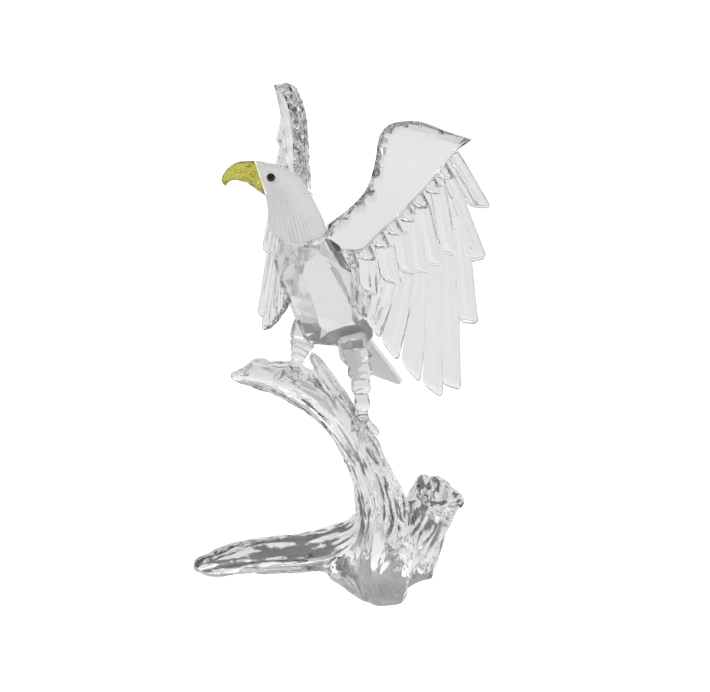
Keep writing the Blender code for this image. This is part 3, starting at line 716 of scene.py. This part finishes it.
# How far the tip reaches past its middle, slants and is rounded off, as shares of the width.
TIP_REACH = 0.1
TIP_SLANT = 0.48
TIP_ROUND = 0.3
WEB = (
    (37.5, 28.0), (40.5, 21.0), (42.5, 10.0), (41.5, -2.0), (36.0, -14.0), (28.0, -18.0), (19.0, -26.0),
    (14.5, -29.0), (6.0, -22.0), (0.0, -9.0), (11.0, -2.5), (18.0, 5.5), (26.0, 17.5), (32.5, 28.5),
)
WEB_HALF = 0.9
# The plate is cut into cells of this size, so that it bends smoothly: along which axis, and from
# where to where.
BEND_STEP = 4
BEND_SPANS = ((0, -6, 50), (1, -50, 38))
# How far a wing stays clear of the body and the neck, for the glue.
GLUE_CLEARANCE = 0.33


def clouded(name, values, waves, first, second, detail=2.0):
    """A surface whose colour drifts softly between two, with so many waves to the metre."""
    material, shading = surface(name, values)
    cloud = shading.noise(shading.object_point(), waves, detail)
    shading.feed("Base Color", shading.between(cloud, first, second))
    return material, shading


class Shaping(Shading):
    """Adds nodes to a geometry tree with named inputs."""

    def __init__(self, name, **values):
        self.tree = bpy.data.node_groups.new(name, "GeometryNodeTree")
        self.values = {"Geometry": ("NodeSocketGeometry", None)}
        for value_name, value in values.items():
            kind = "NodeSocketMaterial" if isinstance(value, bpy.types.Material) else "NodeSocketFloat"
            self.values[value_name] = (kind, value)
        self.sockets = {
            value_name: self.tree.interface.new_socket(value_name, in_out="INPUT", socket_type=kind)
            for value_name, (kind, value) in self.values.items()
        }
        self.tree.interface.new_socket("Geometry", in_out="OUTPUT", socket_type="NodeSocketGeometry")
        self.start = self.tree.nodes.new("NodeGroupInput")

    def given(self, name):
        return Signal(self, self.start.outputs[name])

    def attribute(self, name, kind):
        return self.node("GeometryNodeInputNamedAttribute", {"data_type": kind}, {"Name": name})

    def vector(self, operation, first, second=(0.0, 0.0, 0.0), output="Vector"):
        return self.node("ShaderNodeVectorMath", {"operation": operation}, {0: first, 1: second}, output)

    def scaled(self, vector, amount):
        return self.node("ShaderNodeVectorMath", {"operation": "SCALE"}, {0: vector, "Scale": amount})

    def shape(self, name, points, attributes):
        """Runs the tree on a mesh of loose points, and gives the shape as a plain mesh object."""
        whole = self.node("GeometryNodeRealizeInstances", {}, {"Geometry": self.result})
        painted = self.node(
            "GeometryNodeSetMaterial", {}, {"Geometry": whole, "Material": self.given("Material")}
        )
        end = self.tree.nodes.new("NodeGroupOutput")
        self.tree.links.new(painted.socket, end.inputs["Geometry"])
        mesh = bpy.data.meshes.new(name)
        mesh.from_pydata(points, [], [])
        for attribute_name, column in attributes.items():
            kind = "FLOAT_VECTOR" if np.ndim(column) == 2 else "FLOAT"
            attribute = mesh.attributes.new(attribute_name, kind, "POINT")
            field = "vector" if kind == "FLOAT_VECTOR" else "value"
            attribute.data.foreach_set(field, np.array(column, dtype=float).ravel())
        piece = bpy.data.objects.new(name, mesh)
        bpy.context.scene.collection.objects.link(piece)
        modifier = piece.modifiers.new(name, "NODES")
        modifier.node_group = self.tree
        for value_name, (_, value) in self.values.items():
            if value is not None:
                modifier[self.sockets[value_name].identifier] = value
        return settled(piece)


def feather_tree(material):
    """Each point becomes a closed feather with a rounded slanting tip, a shaft and rounded edges."""
    shaping = Shaping(
        "feathers", Material=material, Tilt=FEATHER_TILT, Rim=FEATHER_RIM, Shaft=FEATHER_SHAFT
    )
    long_cells, cross_cells = FEATHER_CELLS
    block = shaping.node(
        "GeometryNodeMeshCube",
        {},
        {"Size": (1.0, 1.0, 1.0), "Vertices X": long_cells, "Vertices Y": cross_cells, "Vertices Z": 2},
    )
    named = shaping.node(
        "GeometryNodeStoreNamedAttribute",
        {"data_type": "FLOAT_VECTOR"},
        {"Geometry": block, "Name": "spot", "Value": shaping.node("GeometryNodeInputPosition", {}, {})},
    )
    placed = shaping.node(
        "GeometryNodeInstanceOnPoints", {}, {"Points": shaping.given("Geometry"), "Instance": named}
    )
    loose = shaping.node("GeometryNodeRealizeInstances", {}, {"Geometry": placed})
    spot = shaping.attribute("spot", "FLOAT_VECTOR")
    start = shaping.attribute("start", "FLOAT_VECTOR")
    reach = shaping.attribute("reach", "FLOAT_VECTOR")
    width = shaping.attribute("width", "FLOAT")
    slant = shaping.attribute("slant", "FLOAT")
    thickness = shaping.attribute("thickness", "FLOAT")
    length = shaping.vector("LENGTH", reach, output="Value")
    along = shaping.vector("NORMALIZE", reach)
    across = shaping.vector("CROSS_PRODUCT", (0.0, 0.0, 1.0), along)
    # The cells are finest towards the tip and the two edges.
    share = 1 - (0.5 - shaping.part(spot, "X")) ** 1.5
    side = (shaping.part(spot, "Y") * math.pi).sine()
    face = shaping.part(spot, "Z") * 2.0
    rounded = 1 - (1 - side.size() ** 4).at_least(0.0).root()
    tip = slant * TIP_SLANT * (1 - side) + TIP_ROUND * rounded
    end = length + width * TIP_REACH - width * tip
    crown = ((1 - side.size() ** 6) * (1 - share**40)).at_least(0.0).root()
    rim = shaping.given("Rim")
    half = thickness / 2.0 * (rim + (1 - rim) * crown)
    shaft = shaping.given("Shaft") * shaping.fall(side.size(), *SHAFT_SIDE)
    shaft = shaft * shaping.fall(share, *SHAFT_TIP)
    lift = shaping.given("Tilt") * side * width / 2.0
    height = lift + face * (half + shaft)
    offset = side * width / 2.0 - width / 2.0
    place = shaping.vector("ADD", start, shaping.scaled(along, share * end))
    place = shaping.vector("ADD", place, shaping.scaled(across, offset))
    rise = shaping.node("ShaderNodeCombineXYZ", {}, {"Z": height})
    place = shaping.vector("ADD", place, rise)
    shaping.result = shaping.node("GeometryNodeSetPosition", {}, {"Geometry": loose, "Position": place})
    return shaping


def along_edge(edge, share):
    """The point at that share of the way along a line of flat points."""
    edge = np.array(edge)
    spans = np.linalg.norm(np.diff(edge, axis=0), axis=1)
    travelled = np.concatenate(([0.0], np.cumsum(spans))) / spans.sum()
    return np.array([np.interp(share, travelled, edge[:, k]) for k in range(2)])


def feather_rows():
    """All feathers, as start, reach, width, slant and thickness."""
    rows = [(*row, FLIGHT_THICKNESS) for row in FLIGHT_FEATHERS]
    rows += [(*row, COVERT_THICKNESS) for row in COVERTS]
    lean = np.array(SCALE_LEAN)
    first, last = SCALE_SPAN
    for k in range(SCALES):
        at = along_edge(TRAILING_EDGE, first + (last - first) * k / (SCALES - 1))
        root, tip = at - lean * SCALE_ROOT, at + lean * SCALE_REACH
        rows.append((*root, *tip, SCALE_WIDTH, SCALE_SLANT, SCALE_THICKNESS))
    return np.array(rows)


def smooth_line(points, steps):
    """Points on a smooth curve through the given ones."""
    points = np.array(points, dtype=float)
    padded = np.concatenate((points[:1], points, points[-1:]))
    line = []
    for a, b, c, d in zip(padded, padded[1:], padded[2:], padded[3:]):
        for step in range(steps):
            t = step / steps
            square = (2 * a - 5 * b + 4 * c - d) * t**2
            cube = (3 * b - a - 3 * c + d) * t**3
            line.append(0.5 * (2 * b + (c - a) * t + square + cube))
    line.append(points[-1])
    return line


def ringed(name, rings):
    """A closed shape through rings of equally many points, with flat ends."""
    bm = bmesh.new()
    rows = [[bm.verts.new(point) for point in ring] for ring in rings]
    for low, high in zip(rows, rows[1:]):
        for i in range(len(low)):
            j = (i + 1) % len(low)
            bm.faces.new((low[i], low[j], high[j], high[i]))
    bm.faces.new(rows[0])
    bm.faces.new(rows[-1])
    bmesh.ops.recalc_face_normals(bm, faces=bm.faces)
    mesh = bpy.data.meshes.new(name)
    bm.to_mesh(mesh)
    bm.free()
    piece = bpy.data.objects.new(name, mesh)
    bpy.context.scene.collection.objects.link(piece)
    return piece


def arm_panel():
    """The arm, with a row of small chips in the bevel along its leading edge."""
    rng = np.random.default_rng(CHIP_SEED)
    leading = smooth_line(LEADING_EDGE, CURVE_STEPS)
    trailing = smooth_line(TRAILING_EDGE, CURVE_STEPS)
    outline = np.array(leading + trailing[1:-1])
    count = len(outline)
    bevels = np.full(count, ARM_REAR_BEVEL)
    bevels[: len(leading) - 1] = np.linspace(*ARM_BEVELS, len(leading) - 1)
    edges = np.full(count, ARM_REAR_HALF)
    edges[: len(leading)] = ARM_EDGE_HALF
    way = np.roll(outline, -1, axis=0) - np.roll(outline, 1, axis=0)
    way /= np.linalg.norm(way, axis=1)[:, None]
    inward = np.stack((way[:, 1], -way[:, 0]), axis=1)
    rings = []
    for face in (-1, 1):
        chips = rng.uniform(-CHIP, CHIP, (count, 3))
        chips[:, 2] += CHIP_STEP * np.cos(math.pi * np.arange(count))
        chips[: PLAIN_ENDS[0]] = 0
        chips[len(leading) - PLAIN_ENDS[1] :] = 0
        middle = outline + inward * bevels[:, None] * 0.5 + chips[:, :2]
        heights = (ARM_HALF + edges) / 2 + BEVEL_BULGE + chips[:, 2]
        panel = outline + inward * bevels[:, None]
        made = [
            [(*p, face * ARM_HALF) for p in panel],
            [(*p, face * h) for p, h in zip(middle, heights)],
            [(*p, face * h) for p, h in zip(outline, edges)],
        ]
        rings += made if face < 0 else made[::-1]
    return ringed("arm_panel", rings)


def joined(shape, others, operation):
    """The shape united with, or cut by, the others, which are used up."""
    operands = bpy.data.collections.new("operands")
    for other in others:
        operands.objects.link(other)
    modifier = shape.modifiers.new("join", "BOOLEAN")
    modifier.operation = operation
    modifier.operand_type = "COLLECTION"
    modifier.collection = operands
    modifier.solver = "MANIFOLD"
    settled(shape)
    for other in others:
        bpy.data.objects.remove(other)
    bpy.data.collections.remove(operands)
    return shape


def wing_plate(material):
    """A wing while it is still flat: the arm, the feathers and the web between them, in one piece."""
    rows = feather_rows()
    level = np.zeros(len(rows))
    starts = np.column_stack((rows[:, :2], level))
    attributes = {
        "start": starts,
        "reach": np.column_stack((rows[:, 2:4] - rows[:, :2], level)),
        "width": rows[:, 4],
        "slant": rows[:, 5],
        "thickness": rows[:, 6],
    }
    feathers = feather_tree(material).shape("feathers", starts.tolist(), attributes)
    bpy.ops.object.select_all(action="DESELECT")
    feathers.select_set(True)
    bpy.context.view_layer.objects.active = feathers
    bpy.ops.mesh.separate(type="LOOSE")
    web = ringed("web", [[(*point, face * WEB_HALF) for point in WEB] for face in (-1, 1)])
    plate = joined(arm_panel(), [web, *bpy.context.selected_objects], "UNION")
    bm = bmesh.new()
    bm.from_mesh(plate.data)
    for axis, low, high in BEND_SPANS:
        for place in range(low, high, BEND_STEP):
            cut = [*bm.verts, *bm.edges, *bm.faces]
            middle = [0, 0, 0]
            middle[axis] = place
            facing = [0, 0, 0]
            facing[axis] = 1
            bmesh.ops.bisect_plane(bm, geom=cut, plane_co=middle, plane_no=facing)
    bm.to_mesh(plate.data)
    bm.free()
    return plate


def bird_frame():
    """From the bird's own frame, which looks along X, to the figurine's."""
    return (
        Matrix.Translation(BIRD_PLACE)
        @ Matrix.Rotation(math.radians(BIRD_HEADING), 4, "Z")
        @ Matrix.Rotation(math.radians(BIRD_ROLL), 4, "X")
    )


def grown(node):
    """A copy of a node that is larger all round, by the glue line and a little more."""
    piece = copied("cutter", node)
    carve(piece, -GLUE_CLEARANCE)
    return piece


def make_wing(plate, name, side):
    """Bends the plate, sets it on one side of the bird and cuts it clear of the body and the neck."""
    wing = plate.copy()
    wing.data = plate.data.copy()
    wing.name = name
    bpy.context.scene.collection.objects.link(wing)
    points = mesh_points(wing.data)
    u, v = np.maximum(points[:, 0], 0) / LEADING_EDGE[-1][0], points[:, 1]
    points[:, 2] += (WING_BOW - WING_TWIST * v / WING_TWIST_LENGTH) * u**2
    start, end = WING_CURL_SPAN
    points[:, 2] += WING_CURL * (np.maximum(v - start, 0) / (end - start)) ** 2
    move_points(wing.data, points)
    sweep = math.radians(WING_SWEEP)
    across = Vector((-math.sin(sweep), math.cos(sweep), 0))
    up = Vector((0, 0, 1))
    flat_to_bird = Matrix((across, up, across.cross(up))).transposed().to_4x4()
    flat_to_bird.translation = Vector(SHOULDER)
    wing.data.transform(bird_frame() @ Matrix.Scale(side, 4, (0, 1, 0)) @ flat_to_bird)
    if side < 0:
        wing.data.flip_normals()
    joined(wing, [grown("body"), grown("head")], "DIFFERENCE")
    wing.data.shade_smooth()
    wing.data.set_sharp_from_angle(angle=math.radians(WING_CREASE))
    even = wing.modifiers.new("even", "WEIGHTED_NORMAL")
    even.weight = 100
    even.keep_sharp = True
    return settled(wing)


clear, _ = clouded("clear_crystal", POLISHED, *CLEAR_CLOUD)
plate = wing_plate(clear)
for side, sign in (("left", 1), ("right", -1)):
    wing = make_wing(plate, f"crystal_wing_{side}", sign)
    finished(wing, f"wing_{side}", clear)
bpy.data.objects.remove(plate)


# The body: a faceted stone of clear crystal, with a broad facet on the breast. Slender facets are
# cut round its shoulders and its rump, and every edge is softened by the polish.

FACETED = {**CLEAR, "IOR": 1.33, "Transmission Weight": 0.87}
BODY_EDGE = 0.12
# Edges blunter than this, in degrees, are left alone.
BODY_CREASE = 6
# Each extra cut has the way it faces, in degrees to the left of the bird's heading and above the
# ground, and how much of the stone it takes off, in millimetres.
BODY_CUTS = (
    (-136, 26, 1.5), (64, 44, 0.7), (-20, 44, 0.6), (-60, 40, 0.6), (140, 30, 0.5), (-140, 30, 0.5),
)


def facing_way(bearing, rise):
    """A direction, in degrees to the left of the bird's heading and above the ground."""
    turn, lift = math.radians(BIRD_HEADING + bearing), math.radians(rise)
    return Vector((math.cos(turn) * math.cos(lift), math.sin(turn) * math.cos(lift), math.sin(lift)))


def make_body():
    body = copied("crystal_body", "body")
    bm = bmesh.new()
    bm.from_mesh(body.data)
    for bearing, rise, taken in BODY_CUTS:
        facing = facing_way(bearing, rise)
        reach = max(vert.co.dot(facing) for vert in bm.verts) - taken
        whole = [*bm.verts, *bm.edges, *bm.faces]
        cut = bmesh.ops.bisect_plane(
            bm, geom=whole, plane_co=facing * reach, plane_no=facing, clear_outer=True
        )
        rim = [edge for edge in cut["geom_cut"] if isinstance(edge, bmesh.types.BMEdge)]
        bmesh.ops.contextual_create(bm, geom=rim)
    bmesh.ops.recalc_face_normals(bm, faces=bm.faces)
    bm.to_mesh(body.data)
    bm.free()
    soften = body.modifiers.new("soften", "BEVEL")
    soften.width = BODY_EDGE
    soften.segments = 2
    soften.limit_method = "ANGLE"
    soften.angle_limit = math.radians(BODY_CREASE)
    soften.harden_normals = True
    return settled(body)


faceted, _ = clouded("faceted_crystal", FACETED, *CLEAR_CLOUD)
finished(make_body(), "body", faceted)


# The legs: a faceted drum of clear crystal for each thigh, with a feathered shank, an ankle and four
# knuckled toes that are pressed in one piece with it.

LEG_CELL = 0.2
LEG_EASE = 80
THIGH_DEPTH = 9.0
# Over what height the thigh's crisp facets give way to the downy shank, and what they keep of it.
SHANK_CHANGE = 2.0
THIGH_EASE = 0.1
THIGH_DOWN = 0.25
# The down of the shanks: width and length of its soft ripples, and their depth.
DOWN = (1.0, 6.0, 0.22)
# The lumps under it: their size, and their height beside the ripples.
LUMPS = (2.2, 0.4)


def on_shank(leg):
    """From 0 on the thigh to 1 on the shank, at each point."""
    height = mesh_points(leg.data)[:, 2]
    return np.clip((height.max() - THIGH_DEPTH - height) / SHANK_CHANGE, 0, 1)


def make_leg(side):
    leg = copied(f"crystal_leg_{side}", f"leg_{side}")
    melt(leg, LEG_CELL)
    settled(leg)
    downy = leg.vertex_groups.new(name="downy")
    for k, share in enumerate(np.maximum(on_shank(leg), THIGH_EASE).tolist()):
        downy.add((k,), share, "REPLACE")
    ease(leg, LEG_EASE).vertex_group = "downy"
    settled(leg)
    points = mesh_points(leg.data)
    width, length, depth = DOWN
    size, share = LUMPS
    ripple = speckle(points / (1, 1, length / width), width, 61) + share * speckle(points, size, 62)
    carve(leg, depth * (1 + ripple) / 2 * (THIGH_DOWN + (1 - THIGH_DOWN) * on_shank(leg)))
    leg.data.shade_smooth()
    return leg


for side in ("left", "right"):
    finished(make_leg(side), f"leg_{side}", faceted)


# The head: moulded crystal with a frosted skin. Soft grooves run down the neck like long feathers,
# a brow stands over each eye, and the eye stones sit in round sockets.

FROSTED = {
    "Base Color": (0.93, 0.935, 0.93, 1.0),
    "Roughness": 0.55,
    "IOR": 1.5,
    "Transmission Weight": 0.35,
    "Subsurface Weight": 0.4,
    "Subsurface Radius": (0.004, 0.004, 0.004),
}
# The frost: the fineness of its grit, how rough it leaves the skin, and how deep the grit is.
GRIT = (9000.0, 3.0)
GRIT_ROUGHNESS = (0.48, 0.14)
GRIT_DEPTH = 0.00006
GRIT_STRENGTH = 0.12
FROST_CLOUD = (240.0, (0.90, 0.905, 0.90), (0.95, 0.955, 0.95))
NECK_PLACE = (-28.0, -8.0, 123.4)
HEAD_HEADING = 186.0
HEAD_CELL = 0.32
HEAD_EASE = 6
# The neck's middle line: its X at the foot, and how far it leans forward for each millimetre of height.
NECK_MIDDLE = (1.0, 0.1)
GROOVES = 40
GROOVE_DEPTH = 0.55
# Short soft strokes run back over the crown and the cheeks: how they are stretched, and their size.
PLUME_STRETCH = (0.32, 1.0, 0.75)
PLUME_SIZE = 0.9
PLUME_DEPTH = 0.10
EYE_PLACE = (9.7, 21.6)
SOCKET_RADIUS = 2.2
SOCKET_DEPTH = 0.28
BROW_HEIGHT = 0.38
MOUTH_DEPTH = 0.3
# The eyes and brows lie farther out than this from the middle of the head.
EYE_SIDE = 2.0


def head_frame():
    """From the head's own frame, which looks along X, to the figurine's."""
    return Matrix.Translation(NECK_PLACE) @ Matrix.Rotation(math.radians(HEAD_HEADING), 4, "Z")


def bump(distance, width):
    """A smooth rounded swell that is 1 at no distance."""
    return np.exp(-((distance / width) ** 2))


def neck_grooves(x, y, z):
    """The long grooves that run down round the neck, and fade out towards the face."""
    middle, lean = NECK_MIDDLE
    around = np.arctan2(y, x - middle - lean * z)
    wander = 0.55 * speckle(np.column_stack((3 * around, z / 5, 0 * z)), 1.0, 21)
    stripes = np.cos(GROOVES * (around + 0.018 * z) + 2.2 * wander)
    low = np.clip((13.5 - z + 0.25 * x) / 6, 0, 1) * np.clip(z / 1.2 + 0.6, 0.2, 1)
    return low * (0.5 + 0.5 * stripes) ** 0.8


def make_head():
    head = copied("frosted_head", "head")
    melt(head, HEAD_CELL)
    ease(head, HEAD_EASE)
    settled(head)
    head.data.transform(head_frame().inverted())
    points = mesh_points(head.data)
    x, y, z = points.T
    depth = GROOVE_DEPTH * neck_grooves(x, y, z)
    crown = np.clip((6.5 - x) / 5, 0, 1) * np.clip((z - 8) / 5, 0, 1)
    depth += PLUME_DEPTH * crown * (speckle(points * PLUME_STRETCH, PLUME_SIZE, 31) + 1)
    eye_x, eye_z = EYE_PLACE
    beside = np.abs(y) > EYE_SIDE
    brow = bump(x - eye_x - 0.2, 3.0) * bump(z - eye_z - 2.4 - 0.12 * (x - eye_x), 0.8)
    depth -= BROW_HEIGHT * brow * beside
    socket = bump(np.hypot(x - eye_x, z - eye_z) - SOCKET_RADIUS, 0.45)
    depth += SOCKET_DEPTH * socket * beside
    mouth = bump(z - 15.0 - 0.18 * (x - 9), 0.45) * np.clip((x - 6.5) / 3, 0, 1)
    depth += MOUTH_DEPTH * mouth
    carve(head, depth)
    head.data.transform(head_frame())
    head.data.update()
    return head


frosted, shading = clouded("frosted_crystal", FROSTED, *FROST_CLOUD)
grit = shading.noise(shading.object_point(), *GRIT)
shading.feed("Roughness", GRIT_ROUGHNESS[0] + GRIT_ROUGHNESS[1] * grit)
relief = {"Height": grit, "Strength": GRIT_STRENGTH, "Distance": GRIT_DEPTH}
shading.feed("Normal", shading.node("ShaderNodeBump", {}, relief, "Normal"))
finished(make_head(), "head", frosted)


# The tail: a fan of frosted crystal with faint feather lines. It is glued under the rump, and its
# edges are rounded by the polish.

FAN = {**FROSTED, "Transmission Weight": 0.25, "Subsurface Weight": 0.0}
# Painted light: the fan's frost is painted paler than the head's, to lighten a tail that the lamps leave
# in shade.
FAN_PAINTED_LIGHTER_CLOUD = (300.0, (0.93, 0.935, 0.93), (0.98, 0.985, 0.98))
FAN_EDGE = 0.35
# Edges sharper than the first, in degrees, are rounded, and those sharper than the second stay crisp.
FAN_CREASES = (15, 35)


def make_tail():
    tail = copied("frosted_tail", "tail")
    soften = tail.modifiers.new("soften", "BEVEL")
    soften.width = FAN_EDGE
    soften.segments = 3
    soften.limit_method = "ANGLE"
    soften.angle_limit = math.radians(FAN_CREASES[0])
    settled(tail)
    tail.data.shade_smooth()
    tail.data.set_sharp_from_angle(angle=math.radians(FAN_CREASES[1]))
    return tail


fan, _ = clouded("frosted_fan", FAN, *FAN_PAINTED_LIGHTER_CLOUD)
finished(make_tail(), "tail", fan)


# The beak: transparent yellow crystal, ground to a hook and glued to the face. A line is cut for the
# mouth, and a nostril in each side.

YELLOW = {
    "Base Color": (0.86, 0.82, 0.12, 1.0),
    "Roughness": 0.03,
    "IOR": 1.54,
    "Transmission Weight": 0.9,
}
YELLOW_CLOUD = (420.0, (0.62, 0.54, 0.01), (0.98, 0.94, 0.28))
BEAK_CELL = 0.2
BEAK_EASE = 5
MOUTH_LINE_DEPTH = 0.34
NOSTRIL_DEPTH = 0.5
# The step where the beak meets the face, and the soft lumps in the crystal.
CERE_DEPTH = 0.14
LUMP_DEPTH = 0.10


def make_beak():
    beak = copied("yellow_beak", "beak")
    melt(beak, BEAK_CELL)
    ease(beak, BEAK_EASE)
    settled(beak)
    beak.data.transform(head_frame().inverted())
    points = mesh_points(beak.data)
    x, _, z = points.T
    mouth = 17.6 + 0.32 * (x - 11) - 0.018 * (x - 11) ** 2
    depth = MOUTH_LINE_DEPTH * bump(z - mouth, 0.28) * np.clip((20.5 - x) / 2, 0, 1)
    nostril = np.hypot((x - 16.0) / 1.1, (z - 23.2 + 0.3 * (x - 16.0)) / 0.5)
    depth += NOSTRIL_DEPTH * np.exp(-(nostril**4))
    depth += CERE_DEPTH * bump(x - 15.4 + 0.2 * (z - 20), 0.35) * (z > mouth)
    lumps = speckle(points, 1.6, 51) + 0.6 * speckle(points, 0.8, 52)
    depth += LUMP_DEPTH * (1 + lumps) * np.clip((21 - x) / 4, 0, 1)
    carve(beak, depth)
    beak.data.transform(head_frame())
    beak.data.update()
    return beak


yellow, _ = clouded("yellow_crystal", YELLOW, *YELLOW_CLOUD)
finished(make_beak(), "beak", yellow)


# The eyes: a round black cabochon of jet glass in each socket, glued in and polished like a mirror.
# A breath of brown shows in it.

JET = {"Base Color": (0.012, 0.008, 0.005, 1.0), "Roughness": 0.04, "IOR": 1.6}
JET_CLOUD = (700.0, (0.006, 0.004, 0.003), (0.05, 0.022, 0.010))
EYE_ROUNDS = 2


def make_eye(side):
    eye = copied(f"jet_eye_{side}", f"eye_{side}")
    round_off = eye.modifiers.new("round_off", "SUBSURF")
    round_off.levels = EYE_ROUNDS
    round_off.render_levels = EYE_ROUNDS
    settled(eye)
    eye.data.shade_smooth()
    return eye


jet, _ = clouded("jet_crystal", JET, *JET_CLOUD)
for side in ("left", "right"):
    finished(make_eye(side), f"eye_{side}", jet)
